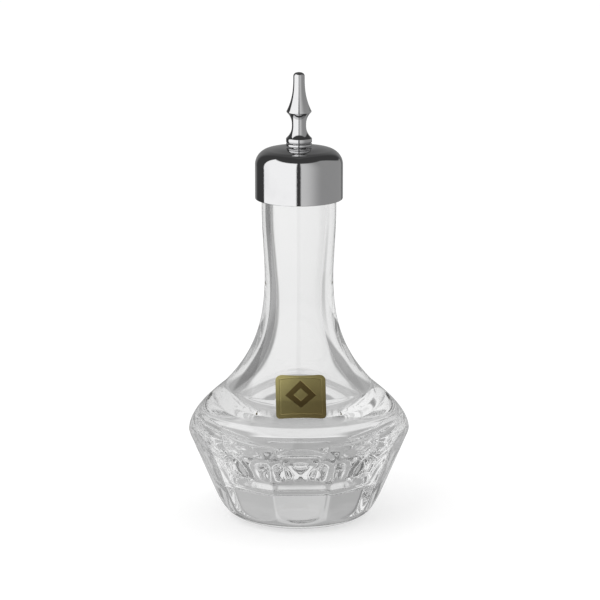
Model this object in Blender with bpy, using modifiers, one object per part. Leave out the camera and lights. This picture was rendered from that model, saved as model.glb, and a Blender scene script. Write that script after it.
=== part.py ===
"""Bitters bottle: a heavy faceted glass dash bottle under a push-in chrome closure.

The glass stands on the XY plane with its axis on Z. One of its facets, and the foil
label above it, face -Y. All sizes are in metres, all angles in degrees.
"""

import math

import bmesh
import bpy
from mathutils import Matrix, Vector

# Clearances
SEAT_GAP = 0.0003            # left between two pieces that rest on each other
PLUG_CLEARANCE = 0.00025     # between the stopper's ribs and the bore of the neck
BORE_CLEARANCE = 0.0003      # round the spout's shank and the hub's barrel
CUT_OVERRUN = 0.002          # how far a cutter runs past what it cuts

# Glass, outside
MOUTH_HEIGHT = 0.1099
MOUTH_ROUND = 0.0008         # fire-polished edge of the mouth
NECK_RADIUS = 0.01135
NECK_STRAIGHT = 0.0140       # straight length of neck below the mouth
WAIST_RADIUS = 0.0105
WAIST_HEIGHT = 0.0769
SLOPE_RADIUS = 0.0229        # where the hollow flare turns into the round shoulder
SLOPE_HEIGHT = 0.0420
SLOPE_ANGLE = 46.4           # fall of the shoulder there, below the level
RING_RADIUS = 0.0340         # widest ring
RING_HEIGHT = 0.0274
HEEL_RADIUS = 0.0114
HEEL_ANGLE = 60.0            # how far the heel's arc climbs from the base
BASE_RADIUS = 0.0150         # outer edge of the flat contact ring
PUNT_RADIUS = 0.0118         # inner edge of the contact ring
PUNT_DEPTH = 0.0009

# Glass, facets cut round the lower body
FACET_COUNT = 10
FACET_FOOT_RADIUS = 0.02255  # corner radius of the cut at the base
FACET_PROUD = 0.00035        # how far the cut's corners stand past the widest ring

# Glass, inside
NECK_WALL = 0.0026
THROAT_WALL = 0.0033         # from the waist's radius to the narrowest of the cavity
THROAT_DROP = 0.0079         # the cavity is narrowest this far below the waist
SLOPE_WALL = 0.0049
CAVITY_SLOPE_ANGLE = 42.0
FLAT_WALL = 0.0021           # behind the middle of a facet, level with the ring
CAVITY_LIFT = 0.0035         # the cavity is widest this far above the ring
FLOOR_THICKNESS = 0.0131
FLOOR_CORNER_RADIUS = 0.0045
FOOT_WALL = 0.0096           # from the cut's corner at the base to the cavity's side

# Foil label
LABEL_SIDE = 0.0151
LABEL_CORNER = 0.0014
LABEL_THICKNESS = 0.0002
LABEL_GAP = 0.0001
LABEL_REACH = 0.0082         # along the shoulder, each way from the label's middle
LABEL_RISE = 0.00145         # from the turn of the shoulder up to the label's middle

# Cap shell
CAP_WALL = 0.0009
CAP_NECK_CLEARANCE = 0.00113
CAP_HEIGHT = 0.0159
CAP_SHOULDER_RADIUS = 0.0048
CAP_SHOULDER_DROP = 0.0006   # from the crown's land to the top of the shoulder
CROWN_FALL = 10.0            # slope of the dome where it meets the shoulder
CAP_LAND_RADIUS = 0.0046     # flat on the crown that the collar sits on
CAP_LIP = 0.0003             # rounding of the skirt's lower edge
CAP_LIP_ANGLE = 60.0         # only edges that turn by more than this are rounded

# Closure pieces under the crown
GASKET_THICKNESS = 0.0010
FLANGE_THICKNESS = 0.0016
FLANGE_MARGIN = 0.0004       # the stopper's flange stops this far inside the neck's side
PLUG_LENGTH = 0.0094
PLUG_TAPER = 0.0006
RIB_HEIGHT = 0.0003
RIB_COUNT = 3
FIRST_RIB_DROP = 0.0010      # from the stopper's flange to the first rib's band
OUTLET_RADIUS = 0.0021
STOPPER_FLOOR = 0.0016
HUB_FLANGE_REACH = 0.0016    # the hub's flange beyond its barrel
HUB_FLANGE_THICKNESS = 0.0012
HUB_WALL = 0.0018
BARB_HEIGHT = 0.0003
BARB_COUNT = 2

# Spout and its collar, heights above the spout's foot
SHANK_RADIUS = 0.0023
SHANK_LENGTH = 0.0075
COLLAR_THICKNESS = 0.0008
FOOT_RADIUS = 0.00395
FOOT_BAND = 0.0014
EDGE_CHAMFER = 0.00015
STEM_RADIUS = 0.00216        # at its waist
STEM_WAIST = 0.0053
SPIRE_FLANGE_RADIUS = 0.0038
SPIRE_FLANGE_HEIGHT = 0.0096
SPIRE_FLANGE_EDGE = 0.00025
SPIRE_START = 0.0197
SPIRE_RADIUS = 0.00174
SPOUT_HEIGHT = 0.0214
TIP_LAND = 0.0001            # flat left round the orifice by the rounding of the tip
SPOUT_BORE = 0.0011
ORIFICE_RADIUS = 0.0005
ORIFICE_TAPER = 0.0011       # height of the cone from the bore to the orifice
ORIFICE_LENGTH = 0.0080

# Fineness
GLASS_STEPS = 60
CAP_STEPS = 40
SMALL_STEPS = 24
CURVE_POINTS = 8
GENTLE_POINTS = 5            # on curves that bend little
ARC_POINTS = 6
ROUND_POINTS = 4
MERGE_DISTANCE = 0.00001
SHARP_ANGLE = 30.0

# Shares of the distance between a curve's ends that its two handles reach
NECK_SHARES = (0.20, 0.11)
FLARE_SHARES = (0.36, 0.41)
SHOULDER_SHARES = (0.11, 0.35)
BELLY_SHARES = (0.18, 0.25)
CAVITY_NECK_SHARES = (0.30, 0.30)
CAVITY_FLARE_SHARES = (0.40, 0.36)
CAVITY_SHOULDER_SHARES = (0.25, 0.30)
CAVITY_SIDE_SHARES = (0.25, 0.30)
CROWN_SHARES = (0.35, 0.35)
RIDGE_SHARES = (0.25, 0.5, 0.75)    # foot, crest and foot of a ridge, down its own pitch

# How late the spout's hollow flares open: 1 is a plain cone
COVE_POWER = 2.5

# Heights that follow from the stack on the glass mouth
GASKET_BOTTOM = MOUTH_HEIGHT + SEAT_GAP
FLANGE_BOTTOM = GASKET_BOTTOM + GASKET_THICKNESS + SEAT_GAP
HUB_FLANGE_BOTTOM = FLANGE_BOTTOM + FLANGE_THICKNESS + SEAT_GAP
HUB_TOP = HUB_FLANGE_BOTTOM + HUB_FLANGE_THICKNESS
CROWN_TOP = HUB_TOP + SEAT_GAP + CAP_WALL
COLLAR_BOTTOM = CROWN_TOP + SEAT_GAP
SPOUT_BOTTOM = COLLAR_BOTTOM + COLLAR_THICKNESS + SEAT_GAP
STOPPER_BOTTOM = FLANGE_BOTTOM - PLUG_LENGTH
SOCKET_BOTTOM = STOPPER_BOTTOM + STOPPER_FLOOR
HUB_BOTTOM = SOCKET_BOTTOM + SEAT_GAP

# Radii that follow from the neck and from the shank
NECK_BORE = NECK_RADIUS - NECK_WALL
RIB_RADIUS = NECK_BORE - PLUG_CLEARANCE
PLUG_RADIUS = RIB_RADIUS - RIB_HEIGHT
FLANGE_RADIUS = NECK_RADIUS - FLANGE_MARGIN
CAP_RADIUS = NECK_RADIUS + CAP_NECK_CLEARANCE + CAP_WALL
SHANK_BORE = SHANK_RADIUS + BORE_CLEARANCE
HUB_RADIUS = SHANK_BORE + HUB_WALL
HUB_FLANGE_RADIUS = HUB_RADIUS + HUB_FLANGE_REACH
SOCKET_RADIUS = HUB_RADIUS + BARB_HEIGHT + BORE_CLEARANCE

# Corner radius of the cut at the widest ring, and the radius that its corners and the
# cavity's side gain for height
FACET_RING_RADIUS = RING_RADIUS + FACET_PROUD
FACET_SLOPE = (FACET_RING_RADIUS - FACET_FOOT_RADIUS) / RING_HEIGHT


def clear_scene():
    for obj in list(bpy.data.objects):
        bpy.data.objects.remove(obj, do_unlink=True)


def new_collection(name):
    collection = bpy.data.collections.new(name)
    bpy.context.scene.collection.children.link(collection)
    return collection


def new_material(name, colour, roughness, metallic=0.0, transmission=0.0):
    material = bpy.data.materials.new(name)
    material.use_nodes = True
    shader = material.node_tree.nodes["Principled BSDF"]
    shader.inputs["Base Color"].default_value = (*colour, 1.0)
    shader.inputs["Roughness"].default_value = roughness
    shader.inputs["Metallic"].default_value = metallic
    shader.inputs["Transmission Weight"].default_value = transmission
    return material


def point(radius, height):
    """A place on the half plane that a turned profile is drawn on."""
    return Vector((radius, height))


def heading(angle):
    """Unit vector on that half plane, at an angle above the level."""
    return point(math.cos(math.radians(angle)), math.sin(math.radians(angle)))


def arc(centre, radius, start, end, count=ARC_POINTS):
    angles = [start + (end - start) * i / (count - 1) for i in range(count)]
    return [centre + radius * heading(angle) for angle in angles]


def bezier(first, leave, last, arrive, handle_shares, count=CURVE_POINTS):
    """Cubic curve that leaves and arrives along two headings."""
    span = (last - first).length
    near = first + leave * span * handle_shares[0]
    far = last - arrive * span * handle_shares[1]
    points = []
    for i in range(count):
        t = i / (count - 1)
        u = 1 - t
        points.append(u ** 3 * first + 3 * u * u * t * near + 3 * u * t * t * far + t ** 3 * last)
    return points


def cove(wide, narrow, count=CURVE_POINTS):
    """Hollow flare from a wide end to a narrow end that meets its stem upright."""
    points = []
    for i in range(count):
        t = i / (count - 1)
        radius = narrow.x + (wide.x - narrow.x) * (1 - t) ** COVE_POWER
        points.append(point(radius, wide.y + (narrow.y - wide.y) * t))
    return points


def carrier(name, height, collection, parent=None):
    """Empty on the axis that the pieces of one moving group hang from."""
    empty = bpy.data.objects.new(name, None)
    collection.objects.link(empty)
    place_on_axis(empty, height, parent)
    return empty


def place_on_axis(obj, height, parent):
    """Stand an object on the axis at a height above the table, under its parent."""
    obj.parent = parent
    below = 0.0
    while parent:
        below += parent.location.z
        parent = parent.parent
    obj.location = (0, 0, height - below)


def turned(name, profile, steps, collection, material, parent=None, closed=True):
    """Revolve a profile about Z with a Screw modifier, its origin level with its lowest point."""
    mesh = bpy.data.meshes.new(name)
    count = len(profile)
    edges = [(i, i + 1) for i in range(count - 1)]
    if closed:
        edges.append((count - 1, 0))
    base = min(place.y for place in profile)
    mesh.from_pydata([(place.x, 0, place.y - base) for place in profile], edges, [])
    mesh.materials.append(material)
    obj = bpy.data.objects.new(name, mesh)
    collection.objects.link(obj)
    place_on_axis(obj, base, parent)
    screw = obj.modifiers.new("Turn", "SCREW")
    screw.axis = "Z"
    screw.angle = math.tau
    screw.steps = steps
    screw.render_steps = steps
    screw.use_merge_vertices = True
    screw.merge_threshold = MERGE_DISTANCE
    screw.use_smooth_shade = True
    return obj


def cut(obj, cutter, operation):
    cutter.display_type = "WIRE"
    cutter.hide_render = True
    boolean = obj.modifiers.new(cutter.name, "BOOLEAN")
    boolean.operation = operation
    boolean.solver = "EXACT"
    boolean.object = cutter


def waist_to_ring():
    """Outline of the glass from its waist down to its widest ring."""
    slope = heading(-SLOPE_ANGLE)
    down = heading(-90)
    waist = point(WAIST_RADIUS, WAIST_HEIGHT)
    middle = point(SLOPE_RADIUS, SLOPE_HEIGHT)
    ring = point(RING_RADIUS, RING_HEIGHT)
    flare = bezier(waist, down, middle, slope, FLARE_SHARES)
    shoulder = bezier(middle, slope, ring, down, SHOULDER_SHARES)
    return flare + shoulder[1:]


def glass_outside():
    """Outline from the top of the mouth down to the middle of the base."""
    down = heading(-90)
    mouth_centre = point(NECK_RADIUS - MOUTH_ROUND, MOUTH_HEIGHT - MOUTH_ROUND)
    mouth = arc(mouth_centre, MOUTH_ROUND, 90, 0, ROUND_POINTS)
    neck_end = point(NECK_RADIUS, MOUTH_HEIGHT - NECK_STRAIGHT)
    waist = point(WAIST_RADIUS, WAIST_HEIGHT)
    neck = bezier(neck_end, down, waist, down, NECK_SHARES, GENTLE_POINTS)
    heel = arc(point(BASE_RADIUS, HEEL_RADIUS), HEEL_RADIUS, HEEL_ANGLE - 90, -90)
    ring = point(RING_RADIUS, RING_HEIGHT)
    belly_end = heading(HEEL_ANGLE - 180)
    belly = bezier(ring, down, heel[0], belly_end, BELLY_SHARES, GENTLE_POINTS)
    punt = [point(PUNT_RADIUS, 0), point(PUNT_RADIUS - PUNT_DEPTH, PUNT_DEPTH)]
    middle = [point(0, PUNT_DEPTH)]
    return mouth + neck[:-1] + waist_to_ring() + belly[1:-1] + heel + punt + middle


def glass_inside():
    """Outline of the cavity from the middle of its floor up to the mouth."""
    down = heading(-90)
    slope = heading(-CAVITY_SLOPE_ANGLE)
    inward = heading(-90 - SLOPE_ANGLE)
    bore_end = point(NECK_BORE, MOUTH_HEIGHT - NECK_STRAIGHT)
    throat = point(WAIST_RADIUS - THROAT_WALL, WAIST_HEIGHT - THROAT_DROP)
    middle = point(SLOPE_RADIUS, SLOPE_HEIGHT) + SLOPE_WALL * inward
    flat_radius = FACET_RING_RADIUS * math.cos(math.pi / FACET_COUNT)
    widest = point(flat_radius - FLAT_WALL, RING_HEIGHT + CAVITY_LIFT)
    side_angle = math.degrees(math.atan(FACET_SLOPE))
    side = heading(-90 - side_angle)
    corner_height = FLOOR_THICKNESS + FLOOR_CORNER_RADIUS
    corner_radius = FACET_FOOT_RADIUS - FOOT_WALL + FACET_SLOPE * corner_height
    corner_centre = point(corner_radius - FLOOR_CORNER_RADIUS, corner_height)
    floor = arc(corner_centre, FLOOR_CORNER_RADIUS, -90, -side_angle)
    wall = bezier(widest, down, floor[-1], side, CAVITY_SIDE_SHARES, GENTLE_POINTS)
    shoulder = bezier(middle, slope, widest, down, CAVITY_SHOULDER_SHARES)
    flare = bezier(throat, down, middle, slope, CAVITY_FLARE_SHARES)
    neck = bezier(bore_end, down, throat, down, CAVITY_NECK_SHARES, GENTLE_POINTS)
    mouth_centre = point(NECK_BORE + MOUTH_ROUND, MOUTH_HEIGHT - MOUTH_ROUND)
    mouth = arc(mouth_centre, MOUTH_ROUND, 180, 90, ROUND_POINTS)
    downward = neck[:-1] + flare[:-1] + shoulder[:-1] + wall[:-1]
    return [point(0, FLOOR_THICKNESS)] + floor + downward[::-1] + mouth


def facet_cutter(cutters):
    """Upturned ten-sided pyramid whose flats become the facets."""
    low = -CUT_OVERRUN
    high = MOUTH_HEIGHT + CUT_OVERRUN
    bpy.ops.mesh.primitive_cone_add(
        vertices=FACET_COUNT,
        radius1=FACET_FOOT_RADIUS + FACET_SLOPE * low,
        radius2=FACET_FOOT_RADIUS + FACET_SLOPE * high,
        depth=high - low,
        location=(0, 0, (low + high) / 2),
        rotation=(0, 0, math.pi / FACET_COUNT),
    )
    cutter = bpy.context.object
    cutter.name = "facet_cutter"
    for collection in cutter.users_collection:
        collection.objects.unlink(cutter)
    cutters.objects.link(cutter)
    return cutter


def build_glass(parts, cutters):
    material = new_material("clear_glass", (0.95, 0.96, 0.96), 0.02, transmission=1.0)
    profile = glass_inside() + glass_outside()
    glass = turned("glass_bottle", profile, GLASS_STEPS, parts, material, closed=False)
    cut(glass, facet_cutter(cutters), "INTERSECT")


def label_cutter(cutters, centre):
    """Square prism with rounded corners, upright on the shoulder's slope."""
    mesh = bpy.data.meshes.new("label_cutter")
    prism = bmesh.new()
    bmesh.ops.create_cube(prism, size=1.0)
    height = LABEL_REACH
    bmesh.ops.scale(prism, vec=(LABEL_SIDE, LABEL_SIDE, height), verts=prism.verts)
    uprights = [edge for edge in prism.edges
                if abs(edge.verts[0].co.z - edge.verts[1].co.z) > height / 2]
    bmesh.ops.bevel(prism, geom=uprights, offset=LABEL_CORNER, segments=ROUND_POINTS,
                    profile=0.5, affect="EDGES")
    tilt = Matrix.Rotation(math.radians(90 - SLOPE_ANGLE), 4, "X")
    turn = Matrix.Rotation(math.radians(90), 4, "X") @ tilt.inverted()
    place = Matrix.Translation((0, -centre.x, centre.y)) @ turn
    bmesh.ops.transform(prism, matrix=place, verts=prism.verts)
    prism.to_mesh(mesh)
    prism.free()
    cutter = bpy.data.objects.new("label_cutter", mesh)
    cutters.objects.link(cutter)
    return cutter


def build_label(parts, cutters):
    """Foil square, cut from a thin skin that follows the shoulder."""
    material = new_material("gold_foil", (0.45, 0.38, 0.16), 0.35, metallic=0.9)
    outline = waist_to_ring()
    centre = point(SLOPE_RADIUS, SLOPE_HEIGHT) - LABEL_RISE * heading(-SLOPE_ANGLE)
    near = [place for place in outline if (place - centre).length < 2 * LABEL_REACH]
    normals = []
    for i, place in enumerate(near):
        along = near[min(i + 1, len(near) - 1)] - near[max(i - 1, 0)]
        normals.append(point(-along.y, along.x).normalized())
    inner = [place + LABEL_GAP * normal for place, normal in zip(near, normals)]
    outer = [place + LABEL_THICKNESS * normal for place, normal in zip(inner, normals)]
    label = turned("foil_label", outer + inner[::-1], GLASS_STEPS, parts, material)
    cut(label, label_cutter(cutters, centre), "INTERSECT")


def build_cap(parts, chrome, closure):
    """Drawn shell: one open skin from the crown's hole to the skirt, thickened inwards."""
    bottom = CROWN_TOP - CAP_HEIGHT
    shoulder_top = CROWN_TOP - CAP_SHOULDER_DROP
    shoulder_centre = point(CAP_RADIUS - CAP_SHOULDER_RADIUS, shoulder_top - CAP_SHOULDER_RADIUS)
    shoulder = arc(shoulder_centre, CAP_SHOULDER_RADIUS, 90 - CROWN_FALL, 0)
    land = point(CAP_LAND_RADIUS, CROWN_TOP)
    crown = bezier(land, heading(0), shoulder[0], heading(-CROWN_FALL), CROWN_SHARES, GENTLE_POINTS)
    profile = [point(SHANK_BORE, CROWN_TOP)] + crown + shoulder[1:] + [point(CAP_RADIUS, bottom)]
    cap = turned("cap_shell", profile, CAP_STEPS, parts, chrome, closure, closed=False)
    wall = cap.modifiers.new("Wall", "SOLIDIFY")
    wall.thickness = CAP_WALL
    wall.offset = -1
    wall.use_even_offset = True
    lip = cap.modifiers.new("Lip", "BEVEL")
    lip.width = CAP_LIP
    lip.segments = 1
    lip.limit_method = "ANGLE"
    lip.angle_limit = math.radians(CAP_LIP_ANGLE)


def ridged(radius, height, top, bottom, count):
    """Side of a plug or barrel going down, with evenly spaced pointed ridges."""
    pitch = (top - bottom) / count
    side = []
    for i in range(count):
        foot, crest, end = [top - pitch * (i + share) for share in RIDGE_SHARES]
        side += [point(radius, foot), point(radius + height, crest), point(radius, end)]
    return side


def build_gasket(parts, closure):
    material = new_material("silicone", (0.75, 0.75, 0.72), 0.5)
    inner = RIB_RADIUS
    profile = [point(inner, GASKET_BOTTOM + GASKET_THICKNESS),
               point(NECK_RADIUS, GASKET_BOTTOM + GASKET_THICKNESS),
               point(NECK_RADIUS, GASKET_BOTTOM), point(inner, GASKET_BOTTOM)]
    turned("rim_gasket", profile, CAP_STEPS, parts, material, closure)


def build_stopper(parts, closure):
    """Ribbed plug with a socket for the hub and a small outlet through its floor."""
    material = new_material("polyethylene", (0.85, 0.86, 0.84), 0.4)
    flange_top = FLANGE_BOTTOM + FLANGE_THICKNESS
    flange = [point(FLANGE_RADIUS, flange_top), point(FLANGE_RADIUS, FLANGE_BOTTOM)]
    neck = [point(PLUG_RADIUS, FLANGE_BOTTOM)]
    plug = ridged(PLUG_RADIUS, RIB_HEIGHT, FLANGE_BOTTOM - FIRST_RIB_DROP,
                  STOPPER_BOTTOM + PLUG_TAPER, RIB_COUNT)
    nose = [point(PLUG_RADIUS, STOPPER_BOTTOM + PLUG_TAPER),
            point(PLUG_RADIUS - PLUG_TAPER, STOPPER_BOTTOM), point(OUTLET_RADIUS, STOPPER_BOTTOM)]
    socket = [point(OUTLET_RADIUS, SOCKET_BOTTOM), point(SOCKET_RADIUS, SOCKET_BOTTOM),
              point(SOCKET_RADIUS, flange_top)]
    turned("stopper", flange + neck + plug + nose + socket, CAP_STEPS, parts, material, closure)


def build_hub(parts, closure):
    """Brass bush under the crown: the spout screws into it and the stopper grips it."""
    brass = new_material("brass", (0.72, 0.56, 0.28), 0.3, metallic=1.0)
    flange = [point(HUB_FLANGE_RADIUS, HUB_TOP), point(HUB_FLANGE_RADIUS, HUB_FLANGE_BOTTOM)]
    barrel = [point(HUB_RADIUS, HUB_FLANGE_BOTTOM)]
    barbs = ridged(HUB_RADIUS, BARB_HEIGHT, HUB_FLANGE_BOTTOM, HUB_BOTTOM, BARB_COUNT)
    foot = [point(HUB_RADIUS, HUB_BOTTOM), point(SHANK_BORE, HUB_BOTTOM)]
    top = [point(SHANK_BORE, HUB_TOP)]
    turned("threaded_hub", flange + barrel + barbs + foot + top, SMALL_STEPS, parts, brass, closure)


def build_collar(parts, chrome, riser):
    """Loose ring between the crown and the spout's foot."""
    top = COLLAR_BOTTOM + COLLAR_THICKNESS
    profile = [point(SHANK_BORE, top), point(FOOT_RADIUS - EDGE_CHAMFER, top),
               point(FOOT_RADIUS, top - EDGE_CHAMFER),
               point(FOOT_RADIUS, COLLAR_BOTTOM + EDGE_CHAMFER),
               point(FOOT_RADIUS - EDGE_CHAMFER, COLLAR_BOTTOM), point(SHANK_BORE, COLLAR_BOTTOM)]
    turned("seat_collar", profile, SMALL_STEPS, parts, chrome, riser)


def spout_outside():
    """Tip, spire, flange, stem, foot and shank, going down."""
    foot = SPOUT_BOTTOM
    top = foot + SPOUT_HEIGHT
    tip_round = SPIRE_RADIUS - ORIFICE_RADIUS - TIP_LAND
    tip = arc(point(SPIRE_RADIUS - tip_round, top - tip_round), tip_round, 90, 0, ROUND_POINTS)
    flange_top = point(SPIRE_FLANGE_RADIUS, foot + SPIRE_FLANGE_HEIGHT)
    spire_start = point(SPIRE_RADIUS, foot + SPIRE_START)
    spire = cove(flange_top, spire_start)[::-1]
    flange_low = point(SPIRE_FLANGE_RADIUS, flange_top.y - SPIRE_FLANGE_EDGE)
    stem_waist = point(STEM_RADIUS, foot + STEM_WAIST)
    undercut = cove(flange_low, stem_waist)
    foot_top = point(FOOT_RADIUS - EDGE_CHAMFER, foot + FOOT_BAND)
    stem = cove(foot_top, stem_waist)[-2::-1]
    band = [point(FOOT_RADIUS, foot + FOOT_BAND - EDGE_CHAMFER),
            point(FOOT_RADIUS, foot + EDGE_CHAMFER), point(FOOT_RADIUS - EDGE_CHAMFER, foot)]
    shank_end = foot - SHANK_LENGTH
    shank = [point(SHANK_RADIUS, foot), point(SHANK_RADIUS, shank_end)]
    return tip + spire + undercut + stem + band + shank


def build_spout(parts, chrome, riser):
    top = SPOUT_BOTTOM + SPOUT_HEIGHT
    bore_end = top - ORIFICE_LENGTH
    bore = [point(SPOUT_BORE, SPOUT_BOTTOM - SHANK_LENGTH), point(SPOUT_BORE, bore_end),
            point(ORIFICE_RADIUS, bore_end + ORIFICE_TAPER), point(ORIFICE_RADIUS, top)]
    turned("dasher_spout", spout_outside() + bore, SMALL_STEPS, parts, chrome, riser)


def shade(collection):
    """Smooth shading with the real corners kept sharp."""
    for obj in [obj for obj in collection.objects if obj.type == "MESH"]:
        obj.data.shade_smooth()
        obj.data.set_sharp_from_angle(angle=math.radians(SHARP_ANGLE))


def main():
    clear_scene()
    parts = new_collection("bitters_bottle")
    cutters = new_collection("cutters")
    chrome = new_material("chrome", (0.62, 0.62, 0.63), 0.05, metallic=1.0)
    closure = carrier("closure", MOUTH_HEIGHT, parts)
    riser = carrier("spout_riser", COLLAR_BOTTOM, parts, closure)
    build_glass(parts, cutters)
    build_label(parts, cutters)
    build_cap(parts, chrome, closure)
    build_gasket(parts, closure)
    build_stopper(parts, closure)
    build_hub(parts, closure)
    build_collar(parts, chrome, riser)
    build_spout(parts, chrome, riser)
    shade(parts)


main()
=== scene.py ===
import math

import bmesh
import bpy
from mathutils import Matrix, Vector
from mathutils.geometry import interpolate_bezier


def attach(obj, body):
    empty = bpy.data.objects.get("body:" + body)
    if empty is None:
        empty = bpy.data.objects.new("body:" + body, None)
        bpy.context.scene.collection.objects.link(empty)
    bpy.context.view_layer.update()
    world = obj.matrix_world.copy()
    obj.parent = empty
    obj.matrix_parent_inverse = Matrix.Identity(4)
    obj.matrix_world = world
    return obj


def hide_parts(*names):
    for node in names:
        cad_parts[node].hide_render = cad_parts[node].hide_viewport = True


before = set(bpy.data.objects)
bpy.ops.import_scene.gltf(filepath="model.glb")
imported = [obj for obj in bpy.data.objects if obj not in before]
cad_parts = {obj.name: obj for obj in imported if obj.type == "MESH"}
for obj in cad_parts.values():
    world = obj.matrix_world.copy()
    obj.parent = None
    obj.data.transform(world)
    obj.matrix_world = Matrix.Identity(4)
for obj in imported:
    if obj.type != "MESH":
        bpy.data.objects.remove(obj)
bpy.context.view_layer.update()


# Glass bottle
# The heavy clear body that everything else stands on. It is blown into a mould as a round
# blank with a smooth cavity, and ten flats are then ground round its lower half and polished.

MM = 0.001


def heading(angle):
    return Vector((math.cos(math.radians(angle)), 0, math.sin(math.radians(angle))))


def at(radius, height):
    """A place on a turned piece's outline, in millimetres from the axis and from the table."""
    return Vector((radius, 0, height))


def arc(centre, radius, first, last, count):
    angles = [first + (last - first) * i / (count - 1) for i in range(count)]
    return [centre + radius * heading(angle) for angle in angles]


def curve(first, leave, last, arrive, shares, count):
    """Curve between two places that leaves and arrives along two headings."""
    span = (last - first).length
    near = first + heading(leave) * span * shares[0]
    far = last - heading(arrive) * span * shares[1]
    return interpolate_bezier(first, near, far, last, count)


def spun(outline, steps, closed=True, rounds={}):
    """Spin an outline about the axis, with some of its corners rounded first."""
    shape = bmesh.new()
    spots = [shape.verts.new(place * MM) for place in outline]
    for pair in zip(spots, spots[1:] + spots[:1] if closed else spots[1:]):
        shape.edges.new(pair)
    for corner, radius in rounds.items():
        bmesh.ops.bevel(shape, geom=[spots[corner]], offset=radius * MM, offset_type="OFFSET",
                        segments=4, profile=0.5, affect="VERTICES", material=-1)
    bmesh.ops.spin(shape, geom=shape.verts[:] + shape.edges[:], cent=(0, 0, 0), axis=(0, 0, 1),
                   angle=math.tau, steps=steps, use_merge=True)
    bmesh.ops.remove_doubles(shape, verts=shape.verts, dist=0.002 * MM)
    bmesh.ops.recalc_face_normals(shape, faces=shape.faces)
    return shape


def finish_piece(name, shape, material, body, sharp=40):
    """Make a bmesh an object in place, smooth but for its real corners, riding on its body."""
    mesh = bpy.data.meshes.new(name)
    shape.to_mesh(mesh)
    shape.free()
    mesh.materials.append(material)
    mesh.shade_smooth()
    mesh.set_sharp_from_angle(angle=math.radians(sharp))
    piece = bpy.data.objects.new(name, mesh)
    bpy.context.scene.collection.objects.link(piece)
    even = piece.modifiers.new("even_normals", "WEIGHTED_NORMAL")
    even.keep_sharp = True
    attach(piece, body)
    return piece


class Value:
    """A number that varies over a surface. Arithmetic on it adds Math nodes."""

    def __init__(self, tree, socket):
        self.tree = tree
        self.socket = socket

    def math(self, operation, *values):
        node = self.tree.node("Math", {"operation": operation}, dict(enumerate(values)))
        return Value(self.tree, node.outputs[0])

    def __add__(self, other):
        return self.math("ADD", self, other)

    def __sub__(self, other):
        return self.math("SUBTRACT", self, other)

    def __rsub__(self, other):
        return self.math("SUBTRACT", other, self)

    def __mul__(self, other):
        return self.math("MULTIPLY", self, other)

    __radd__ = __add__
    __rmul__ = __mul__

    def wave(self, frequency):
        return self.math("SINE", self * frequency)

    def size(self):
        return self.math("ABSOLUTE", self)

    def most(self, other):
        return self.math("MAXIMUM", self, other)

    def rise(self, low, high):
        """0 below low, 1 above high, and a smooth step between them."""
        node = self.tree.node("MapRange", {"interpolation_type": "SMOOTHSTEP"},
                              {"Value": self, "From Min": low, "From Max": high})
        return Value(self.tree, node.outputs[0])

    def toward(self, other, share):
        """This value at share 0, the other at share 1."""
        return self + (other - self) * share

    def within(self, low, high, soft):
        return self.rise(low - soft, low + soft) * (1 - self.rise(high - soft, high + soft))


class Tree:
    """The nodes of a material or of the world."""

    def __init__(self, owner):
        owner.use_nodes = True
        self.nodes = owner.node_tree.nodes
        self.links = owner.node_tree.links

    def node(self, kind, settings={}, sockets={}):
        node = self.nodes.new("ShaderNode" + kind)
        for name, setting in settings.items():
            setattr(node, name, setting)
        for name, value in sockets.items():
            self.feed(node.inputs[name], value)
        return node

    def feed(self, socket, value):
        if isinstance(value, Value):
            value = value.socket
        if isinstance(value, bpy.types.NodeSocket):
            self.links.new(value, socket)
        else:
            socket.default_value = value

    def blend(self, amount, first, second):
        """Mix of two colours."""
        node = self.node("Mix", {"data_type": "RGBA"}, {0: amount, 6: first, 7: second})
        return node.outputs[2]


class Finish(Tree):
    """A Principled material whose patterns sit on the piece's own place."""

    def __init__(self, name, **constants):
        self.material = bpy.data.materials.new(name)
        super().__init__(self.material)
        self.shader = self.nodes["Principled BSDF"]
        for socket, value in constants.items():
            self.feed(self.shader.inputs[socket.replace("_", " ")], value)
        self.place = self.node("TexCoord").outputs["Object"]

    def axes(self, place=None):
        split = self.node("SeparateXYZ", {}, {0: place or self.place})
        return [Value(self, socket) for socket in split.outputs]

    def moved(self, **sockets):
        node = self.node("Mapping", {"vector_type": "TEXTURE"}, {"Vector": self.place, **sockets})
        return node.outputs[0]

    def noise(self, scale, detail=2.0, place=None):
        node = self.node("TexNoise", {},
                         {"Vector": place or self.place, "Scale": scale, "Detail": detail})
        return Value(self, node.outputs["Fac"])

    def bump(self, height, depth):
        """Raise the surface by height (0 to 1) times a depth in metres."""
        node = self.node("Bump", {}, {"Height": height, "Distance": depth})
        self.feed(self.shader.inputs["Normal"], node.outputs[0])

    def vary(self, socket, value):
        self.feed(self.shader.inputs[socket], value)


FACETS = 10
FOOT_CORNER, FOOT_SLOPE = 22.55, 0.43066    # facet corners: radius at the table, and gain for height
ARRIS = 0.45                                # softness of the polished arrises
COLUMNS = 26                                # columns of faces to one facet
CROWDING = 0.72                             # how far they crowd towards the arrises
NECK, NECK_FOOT = 11.35, 95.9               # its radius, and where it starts to narrow to the waist
MOUTH, RIM_ROUND = 109.1, 0.8               # where the rim starts to round, and by how much
SHOULDER_FALL, INNER_FALL = 46.4, 42        # slopes of the shoulder outside and inside, in degrees
FOOT_OUTER, FOOT_INNER = 15.0, 11.8         # radii of the ring that it stands on
BASE_HOLLOW = 0.9                           # depth of the hollow inside that ring
HEEL_ROUND, HEEL_START = 11.4, 30           # radius, and degrees below level where it starts
FLOOR, FLOOR_ROUND, FLOOR_END = 13.1, 4.5, 23.3

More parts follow.
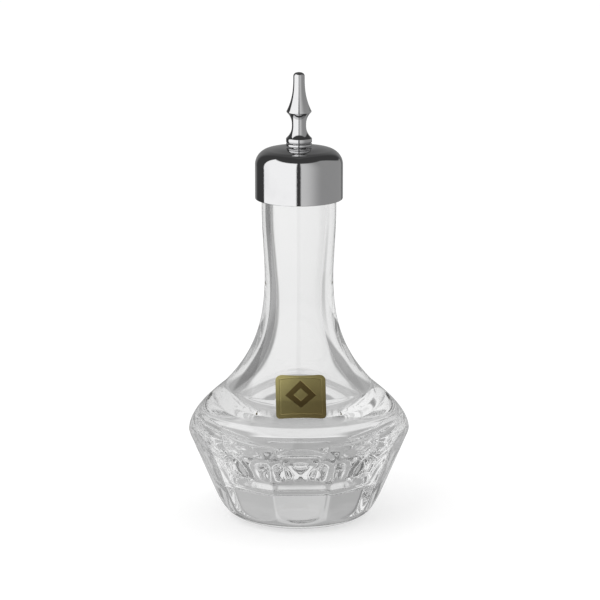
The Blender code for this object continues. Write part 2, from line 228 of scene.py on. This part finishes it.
waist = at(10.5, 76.9)
slope = at(22.9, 42.0)
ring = at(34.0, 27.4)
bore = at(8.75, NECK_FOOT)
heel = arc(at(FOOT_OUTER, HEEL_ROUND), HEEL_ROUND, -HEEL_START, -90, 24)
upper = curve(waist, -90, slope, -SHOULDER_FALL, (0.36, 0.41), 36)
upper += curve(slope, -SHOULDER_FALL, ring, -90, (0.11, 0.35), 64)[1:]
outside = arc(at(NECK - RIM_ROUND, MOUTH), RIM_ROUND, 90, 0, 6)
outside += curve(at(NECK, NECK_FOOT), -90, waist, -90, (0.20, 0.11), 14)[:-1] + upper
outside += curve(ring, -90, heel[0], -90 - HEEL_START, (0.18, 0.25), 36)[1:-1] + heel
outside += [at(FOOT_INNER, 0), at(FOOT_INNER - BASE_HOLLOW, BASE_HOLLOW), at(0, BASE_HOLLOW)]

floor_corner = arc(at(16.0, FLOOR + FLOOR_ROUND), FLOOR_ROUND, -90, -FLOOR_END, 16)
throat = at(7.2, 69.0)
inner_slope = at(19.2, 38.9)
widest = at(30.6, 30.9)
cavity = [at(0, FLOOR), at(8.0, FLOOR)] + floor_corner
cavity += curve(widest, -90, floor_corner[-1], -90 - FLOOR_END, (0.25, 0.30), 14)[-2::-1]
cavity += curve(inner_slope, -INNER_FALL, widest, -90, (0.25, 0.30), 24)[-2::-1]
cavity += curve(throat, -90, inner_slope, -INNER_FALL, (0.40, 0.36), 30)[-2::-1]
cavity += curve(bore, -90, throat, -90, (0.30, 0.30), 12)[-2::-1]
cavity += arc(at(bore.x + RIM_ROUND, MOUTH), RIM_ROUND, 180, 90, 6)

body = spun(cavity + outside, FACETS * COLUMNS, closed=False)


def softer(first, second, width):
    """The lesser of two radii, eased where they are nearly equal."""
    ease = max(width - abs(first - second), 0) / width
    return min(first, second) - ease * ease * width / 4


for spot in body.verts:
    reach = math.hypot(spot.co.x, spot.co.y) / MM
    if reach < 1:
        continue
    turn = math.atan2(spot.co.y, spot.co.x)
    turn -= CROWDING / FACETS * math.sin(FACETS * turn)
    flat = (FOOT_CORNER + FOOT_SLOPE * spot.co.z / MM) * math.cos(math.pi / FACETS)
    off = turn % (math.tau / FACETS) - math.pi / FACETS
    facets = softer(flat / math.cos(off), flat / math.cos(math.tau / FACETS - abs(off)), ARRIS)
    ground = softer(reach, facets, ARRIS) * MM
    spot.co.x = ground * math.cos(turn)
    spot.co.y = ground * math.sin(turn)

clear = Finish("clear_pressed_glass", Transmission_Weight=1.0, IOR=1.52)
swirl = clear.noise(38.0, 1.0)
seeds = clear.noise(900.0, 2.0).rise(0.72, 0.80)
clear.vary("Base Color", clear.blend(clear.noise(30.0), (0.99, 0.99, 0.99, 1), (0.972, 0.974, 0.973, 1)))
clear.vary("Roughness", 0.004 + 0.012 * clear.noise(60.0, 4.0).rise(0.5, 0.8))
clear.bump(swirl + 0.02 * seeds, 0.00003)

glass = finish_piece("cut_glass_body", body, clear.material, "bottle", sharp=60)
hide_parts("glass_bottle")


# Foil label
# A small square of gold foil with rounded corners, stamped with a plain border and a lozenge.
# It is stuck to the shoulder above one of the flats and bends with the glass.

LABEL_HALF, LABEL_ROUND = 7.55, 1.4
LABEL_LEAN, UP_THE_SLOPE = SHOULDER_FALL, 1.45
STRIP_REACH, STRIP_TURN = 8.6, 52           # the strip of the shoulder that it is cut from
SKIN_OFF_GLASS, FOIL = 0.12, 0.16
BORDER_IN, BORDER_OUT, BORDER_SOFT = 6.1, 6.4, 0.08
LOZENGE, LOZENGE_HOLE, LOZENGE_RAISED, LOZENGE_SOFT = 4.6, 2.1, 0.7, 0.2

label_middle = slope - UP_THE_SLOPE * heading(-LABEL_LEAN)
near = [place for place in upper if (place - label_middle).length < STRIP_REACH]
skin = bmesh.new()
row = []
for before, place, after in zip(near, near[1:], near[2:]):
    along = (after - before).normalized()
    row.append(skin.verts.new((place + SKIN_OFF_GLASS * Vector((-along.z, 0, along.x))) * MM))
for pair in zip(row, row[1:]):
    skin.edges.new(pair)
strip_start = Matrix.Rotation(math.radians(-90 - STRIP_TURN / 2), 3, "Z")
bmesh.ops.rotate(skin, verts=skin.verts, cent=(0, 0, 0), matrix=strip_start)
bmesh.ops.spin(skin, geom=skin.verts[:] + skin.edges[:], cent=(0, 0, 0), axis=(0, 0, 1),
               angle=math.radians(STRIP_TURN), steps=60)
lean = Matrix.Rotation(math.radians(LABEL_LEAN), 3, "X")
middle = Vector((0, -label_middle.x, label_middle.z))
for step in range(0, 360, 9):
    way = Vector((math.cos(math.radians(step)), math.sin(math.radians(step)), 0))
    span = (LABEL_HALF - LABEL_ROUND) * (abs(way.x) + abs(way.y)) + LABEL_ROUND
    outward = lean @ way
    bmesh.ops.bisect_plane(skin, geom=skin.verts[:] + skin.edges[:] + skin.faces[:], dist=0.001 * MM,
                           plane_co=(middle + outward * span) * MM, plane_no=outward, clear_outer=True)
bmesh.ops.recalc_face_normals(skin, faces=skin.faces)
if sum(face.normal.z for face in skin.faces) < 0:
    bmesh.ops.reverse_faces(skin, faces=skin.faces)
bmesh.ops.solidify(skin, geom=skin.faces[:], thickness=-FOIL * MM)

foil = Finish("stamped_gold_foil", Metallic=0.85)
across, along = foil.axes(foil.moved(Location=middle * MM, Rotation=(math.radians(LABEL_LEAN), 0, 0)))[:2]
edge = across.size().most(along.size())
border = edge.within(BORDER_IN * MM, BORDER_OUT * MM, BORDER_SOFT * MM)
diamond = across.size() + (along - LOZENGE_RAISED * MM).size()
field = 1 - diamond.rise(LOZENGE * MM, (LOZENGE + LOZENGE_SOFT) * MM)
inner = 1 - diamond.rise(LOZENGE_HOLE * MM, (LOZENGE_HOLE + LOZENGE_SOFT) * MM)
mark = field - inner
tone = foil.noise(240.0, 3.0)
plain = foil.blend(tone, (0.47, 0.42, 0.18, 1), (0.40, 0.345, 0.14, 1))
# Painted shade: the foil is coloured darker along a diagonal towards one corner of the label
foil_with_painted_shade = foil.blend((across - along).rise(-0.012, 0.014), plain, (0.32, 0.25, 0.10, 1))
foil.vary("Base Color", foil.blend(mark * 0.85, foil_with_painted_shade, (0.115, 0.075, 0.022, 1)))
foil.vary("Roughness", 0.34 + 0.18 * foil.noise(700.0, 3.0))
foil.bump(0.5 - 0.4 * border - 0.4 * mark + 0.08 * foil.noise(1500.0, 3.0), 0.00018)
label = finish_piece("gold_foil_label", skin, foil.material, "bottle", sharp=50)
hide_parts("foil_label")


# Rim gasket
# A flat ring of milky silicone on the mouth of the glass, under the flange of the stopper.
# Moulded in one piece and held by the closure.


def washer(inner, outer, foot, top):
    """Outline of a flat ring."""
    return [at(inner, top), at(outer, top), at(outer, foot), at(inner, foot)]


gasket_shape = spun(washer(8.5, NECK, 110.2, 111.2), 96, rounds={0: 0.3, 1: 0.3, 2: 0.3, 3: 0.3})
milky = Finish("milky_silicone", Specular_IOR_Level=0.4)
milky.vary("Base Color", milky.blend(milky.noise(500.0), (0.78, 0.78, 0.75, 1), (0.70, 0.70, 0.66, 1)))
milky.vary("Roughness", 0.45 + 0.2 * milky.noise(900.0))
milky.bump(milky.noise(2500.0, 3.0), 0.00004)
gasket = finish_piece("silicone_rim_gasket", gasket_shape, milky.material, "closure")
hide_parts("rim_gasket")


# Stopper
# The ribbed plug that holds the closure in the neck. Moulded in white polyethylene with a
# socket for the brass hub and a small outlet through its floor.

FLANGE_RADIUS, FLANGE_TOP, PLUG_END = 10.95, 113.1, 102.1
PLUG, RIB, SOCKET, OUTLET = 8.2, 8.5, 5.0, 2.1              # radii
RIB_SLOPE, RIB_FLAT = 0.65, 0.1                             # half heights

plug = [at(FLANGE_RADIUS, FLANGE_TOP), at(FLANGE_RADIUS, 111.5), at(PLUG, 111.5)]
for rib in (109.2, 106.6, 104.0):
    plug += [at(PLUG, rib + RIB_SLOPE), at(RIB, rib + RIB_FLAT)]
    plug += [at(RIB, rib - RIB_FLAT), at(PLUG, rib - RIB_SLOPE)]
plug += [at(PLUG, 102.7), at(7.6, PLUG_END), at(OUTLET, PLUG_END), at(OUTLET, 103.7)]
plug += [at(SOCKET, 103.7), at(SOCKET, FLANGE_TOP)]
stopper_shape = spun(plug, 96, rounds={0: 0.35, 1: 0.3, 15: 0.3, 16: 0.3, 17: 0.2, 20: 0.3})
moulded = Finish("white_polyethylene", Subsurface_Weight=0.08, Subsurface_Radius=(0.002, 0.002, 0.002))
cloudy = moulded.noise(160.0, 3.0)
moulded.vary("Base Color", moulded.blend(cloudy, (0.86, 0.87, 0.85, 1), (0.80, 0.81, 0.78, 1)))
moulded.vary("Roughness", 0.36 + 0.16 * moulded.noise(600.0))
moulded.bump(moulded.noise(1800.0, 3.0), 0.00004)
plug_piece = finish_piece("ribbed_stopper", stopper_shape, moulded.material, "closure")
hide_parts("stopper")


# Threaded hub
# A turned brass bush soldered under the crown of the cap. The spout screws down into it, and
# its two barbs hold the stopper.

HUB, BARB, HUB_BORE, HUB_HEAD = 4.4, 4.7, 2.6, 6.0          # radii
HUB_TOP, HUB_FOOT, BARB_SLOPE = 114.6, 104.0, 1.17

hub_outline = [at(HUB_HEAD, HUB_TOP), at(HUB_HEAD, 113.4), at(HUB, 113.4)]
for barb in (111.05, 106.35):
    hub_outline += [at(HUB, barb + BARB_SLOPE), at(BARB, barb), at(HUB, barb - BARB_SLOPE)]
hub_outline += [at(HUB, HUB_FOOT), at(HUB_BORE, HUB_FOOT), at(HUB_BORE, HUB_TOP)]
hub_shape = spun(hub_outline, 96, rounds={0: 0.2, 1: 0.2, 9: 0.3, 11: 0.15})
brass = Finish("turned_brass", Metallic=1.0)
height = brass.axes()[2]
tool_marks = 0.5 + 0.5 * (height + 0.0002 * brass.noise(400.0)).wave(32000)
tarnish = brass.noise(350.0, 4.0)
brass.vary("Base Color", brass.blend(tarnish, (0.78, 0.58, 0.27, 1), (0.62, 0.43, 0.18, 1)))
brass.vary("Roughness", 0.22 + 0.2 * brass.noise(450.0, 3.0))
brass.bump(tool_marks, 0.00001)
hub = finish_piece("brass_threaded_hub", hub_shape, brass.material, "closure")
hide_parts("threaded_hub")


# Cap
# A drawn brass shell, polished and chrome plated. It slips over the neck, hides the stopper,
# and turns in to a narrow lip at its foot.

CAP, CAP_FOOT, CAP_WALL, CAP_ROUND = 13.38, 99.9, 0.9, 4.8
CROWN, CROWN_FLAT, CAP_HOLE = 115.8, 4.6, 2.6               # height of the top, and two radii on it

round_middle = at(CAP - CAP_ROUND, 110.4)
round_over = arc(round_middle, CAP_ROUND, 80, 0, 32)
crown = curve(at(CROWN_FLAT, CROWN), 0, round_over[0], -10, (0.35, 0.35), 18)
outer_skin = [at(CAP_HOLE, CROWN)] + crown + round_over[1:] + [at(CAP, 105.2), at(CAP, CAP_FOOT)]
inner_skin = [at(CAP - CAP_WALL, CAP_FOOT)] + arc(round_middle, CAP_ROUND - CAP_WALL, 0, 80, 16)
inner_skin += [at(CROWN_FLAT, CROWN - CAP_WALL), at(CAP_HOLE, CROWN - CAP_WALL)]
cap_shape = spun(outer_skin + inner_skin, 144,
                 rounds={0: 0.15, len(outer_skin) - 1: 0.28, len(outer_skin): 0.28})
chrome = Finish("polished_chrome", Metallic=1.0)
smears = chrome.noise(75.0, 4.0).rise(0.45, 0.75)
fine = chrome.noise(1400.0, 3.0, chrome.moved(Scale=(1, 1, 0.08)))
chrome.vary("Base Color", chrome.blend(smears, (0.64, 0.64, 0.645, 1), (0.58, 0.58, 0.59, 1)))
chrome.vary("Roughness", 0.035 + 0.05 * smears + 0.02 * fine)
chrome.bump(fine, 0.000003)
cap = finish_piece("chromed_cap", cap_shape, chrome.material, "closure", sharp=50)
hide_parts("cap_shell")


# Seat collar
# A loose washer of chromed brass on the spout's shank. It covers the hole in the crown and
# spreads the load when the spout is screwed down.

FOOT_BAND, COLLAR_TOP = 3.95, 116.9

collar_shape = spun(washer(CAP_HOLE, FOOT_BAND, 116.1, COLLAR_TOP), 96,
                    rounds={0: 0.1, 1: 0.2, 2: 0.2, 3: 0.1})
collar = finish_piece("chromed_seat_collar", collar_shape, chrome.material, "collar")
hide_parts("seat_collar")


# Dash spout
# Turned from brass bar and chrome plated: a spire over a sharp flange, a waisted stem and a
# round foot, bored through to a fine orifice. Its threaded shank screws down into the hub.

TIP, TIP_RADIUS, TIP_ROUND = 138.6, 1.74, 1.14
FLANGE, FOOT_FACE = 3.8, 117.2
SHANK, SHANK_END = 2.05, 109.7
CHANNEL, ORIFICE = 1.1, 0.5
THREAD_PITCH, THREAD_TURNS, THREAD_STEPS = 0.8, 8, 32


def cove(wide, narrow, count):
    """Hollow flare from a wide end to a narrow end that meets its stem upright."""
    shares = [i / (count - 1) for i in range(count)]
    return [at(narrow.x + (wide.x - narrow.x) * (1 - t) ** 2.5, wide.z + (narrow.z - wide.z) * t)
            for t in shares]


stem_waist = at(2.16, 122.5)
spire = arc(at(TIP_RADIUS - TIP_ROUND, TIP - TIP_ROUND), TIP_ROUND, 90, 0, 12)
spire += cove(at(FLANGE, 126.8), at(TIP_RADIUS, 136.9), 40)[::-1]
stem = cove(at(FLANGE, 126.55), stem_waist, 24) + cove(at(FLANGE, 118.6), stem_waist, 24)[-2::-1]
foot = [at(FOOT_BAND, 118.45), at(FOOT_BAND, 117.35), at(FLANGE, FOOT_FACE)]
shank = [at(2.3, FOOT_FACE), at(2.3, COLLAR_TOP), at(SHANK, 116.7), at(SHANK, 109.9)]
shank += [at(1.85, SHANK_END)]
spout_bore = [at(CHANNEL, SHANK_END), at(CHANNEL, 130.6), at(ORIFICE, 131.7), at(ORIFICE, TIP)]
spout_shape = spun(spire + stem + foot + shank + spout_bore, 96)

ridge = bmesh.new()
section = (at(2.0, 109.85), at(2.28, 110.14), at(2.28, 110.24), at(2.0, 110.53))
start = ridge.faces.new([ridge.verts.new(place * MM) for place in section])
bmesh.ops.spin(ridge, geom=[start], cent=(0, 0, 0), axis=(0, 0, 1), angle=math.tau * THREAD_TURNS,
               dvec=(0, 0, THREAD_PITCH / THREAD_STEPS * MM), steps=THREAD_TURNS * THREAD_STEPS)
bmesh.ops.recalc_face_normals(ridge, faces=ridge.faces)
thread_mesh = bpy.data.meshes.new("thread")
ridge.to_mesh(thread_mesh)
ridge.free()
spout_shape.from_mesh(thread_mesh)
spout = finish_piece("chromed_dash_spout", spout_shape, chrome.material, "spout", sharp=50)
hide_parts("dasher_spout")


# Stage
# A pale table under soft light on a white ground. The light is painted by direction, apart for
# what the surfaces reflect (two soft panels) and for what is seen through the glass (a pale
# horizon with grey flags beside it). Neither is a measured studio.

DARK_ROOM, LEFT_LEVEL = 0.06, 1.34
REAR_WALL, RIGHT_FLAG, LOW_BEHIND, CEILING = 0.60, 0.37, 0.42, 0.15
ON_MATT_SURFACES, BACKGROUND = 0.95, 1.0
MOST_BOUNCES = 32                           # fewer leave black patches inside the glass
TABLE_RADIUS, TABLE_GLOW = 1.5, 0.62
LAMP_WIDTH, LAMP_WATTS = 0.7, 3.0

studio = Tree(bpy.data.worlds.new("studio"))
bpy.context.scene.world = bpy.data.worlds["studio"]
x, y, z = [Value(studio, socket) for socket in
           studio.node("SeparateXYZ", {}, {0: studio.node("TexCoord").outputs["Generated"]}).outputs]
round_angle = x.math("ARCTAN2", x, 0 - y) * math.degrees(1)      # 0 towards the camera, 180 behind
up_angle = z.math("ARCSINE", z) * math.degrees(1)
off_front = round_angle.size()
rays = studio.node("LightPath").outputs

left_panel = round_angle.within(-106, -8, 1.5) * up_angle.within(-70, 52, 3)
right_top = 52 - 42 * round_angle.rise(80, 140)
right_panel = round_angle.within(3, 145, 1.5) * up_angle.rise(-74, -66)
right_panel = right_panel * (1 - (up_angle - right_top).rise(-4, 4))
right_level = 0.76 - 0.39 * round_angle.rise(8, 64)
rear = off_front.rise(140, 158) * (0.22 - 0.19 * up_angle.rise(-10, 50))
reflected = (DARK_ROOM + rear).most(left_panel * LEFT_LEVEL).most(right_panel * right_level)

behind = 0.87 - 0.42 * up_angle.rise(0, 7)
front = 0.97 - 0.15 * round_angle.rise(-10, 30) - 0.25 * (1 - up_angle.rise(-24, -8))
through = front.toward(behind, off_front.rise(126, 138))
through = through.toward(REAR_WALL, off_front.rise(166, 172) * up_angle.within(1, 24, 3))
left_flag = round_angle.within(-157, -100, 4) * up_angle.within(-27, 22, 3)
through = through.toward(0.34 - 0.10 * up_angle.rise(-20, -14), left_flag)
right_flag = round_angle.within(104, 154, 4) * up_angle.within(-9, 24, 3)
through = through.toward(RIGHT_FLAG, right_flag)
through = through.toward(LOW_BEHIND, off_front.rise(110, 130) * (1 - up_angle.rise(-30, -23)))
through = through.toward(CEILING, up_angle.rise(38, 46))

light = reflected.toward(through, Value(studio, rays["Is Transmission Ray"]))
light = light.toward(ON_MATT_SURFACES, Value(studio, rays["Is Diffuse Ray"]))
light = light.toward(BACKGROUND, Value(studio, rays["Is Camera Ray"]))
studio.feed(studio.nodes["Background"].inputs["Color"], (1, 1, 1, 1))
studio.feed(studio.nodes["Background"].inputs["Strength"], light)

table_shape = bmesh.new()
bmesh.ops.create_circle(table_shape, cap_ends=True, radius=TABLE_RADIUS, segments=96)
table_mesh = bpy.data.meshes.new("table")
table_shape.to_mesh(table_mesh)
table_shape.free()
table = bpy.data.objects.new("table", table_mesh)
bpy.context.scene.collection.objects.link(table)
pale = Tree(bpy.data.materials.new("pale_table"))
matt = pale.node("BsdfDiffuse", {}, {"Color": (0.42, 0.42, 0.42, 1)})
glow = pale.node("Emission", {}, {"Color": (1, 1, 1, 1), "Strength": TABLE_GLOW})
both = pale.node("AddShader", {}, {0: matt.outputs[0], 1: glow.outputs[0]})
pale.feed(pale.nodes["Material Output"].inputs["Surface"], both.outputs[0])
table_mesh.materials.append(bpy.data.materials["pale_table"])
table.visible_glossy = False
table.visible_transmission = False

lamp = bpy.data.lights.new("soft_lamp", "AREA")
lamp.shape = "RECTANGLE"
lamp.size, lamp.size_y = LAMP_WIDTH, LAMP_WIDTH
lamp.energy = LAMP_WATTS
lamp_object = bpy.data.objects.new("soft_lamp", lamp)
lamp_object.location = (-0.5, -0.6, 0.9)
lamp_aim = Vector((0, 0, 0.05)) - lamp_object.location
lamp_object.rotation_euler = lamp_aim.to_track_quat("-Z", "Y").to_euler()
lamp_object.visible_glossy = False
lamp_object.visible_transmission = False
bpy.context.scene.collection.objects.link(lamp_object)

CAMERA_DISTANCE = 1.0
CAMERA_TILT = 12.9
CAMERA_TURN = 1.5
LOOK_AT = Vector((0, 0, 0.0681))
PICTURE_WIDTH = 600
camera = bpy.data.cameras.new("camera")
camera.lens = 195.6
camera.sensor_width = 36
camera.shift_x = 1 / PICTURE_WIDTH
camera_object = bpy.data.objects.new("camera", camera)
bpy.context.scene.collection.objects.link(camera_object)
bpy.context.scene.camera = camera_object
turned = Matrix.Rotation(math.radians(-CAMERA_TURN), 3, "Z")
tipped = Matrix.Rotation(math.radians(-CAMERA_TILT), 3, "X")
sight = turned @ tipped @ Vector((0, 1, 0))
camera_object.location = LOOK_AT - CAMERA_DISTANCE * sight
camera_object.rotation_euler = sight.to_track_quat("-Z", "Y").to_euler()

bpy.context.scene.view_settings.view_transform = "Standard"
for kind in ("max", "transmission", "glossy"):
    setattr(bpy.context.scene.cycles, kind + "_bounces", MOST_BOUNCES)
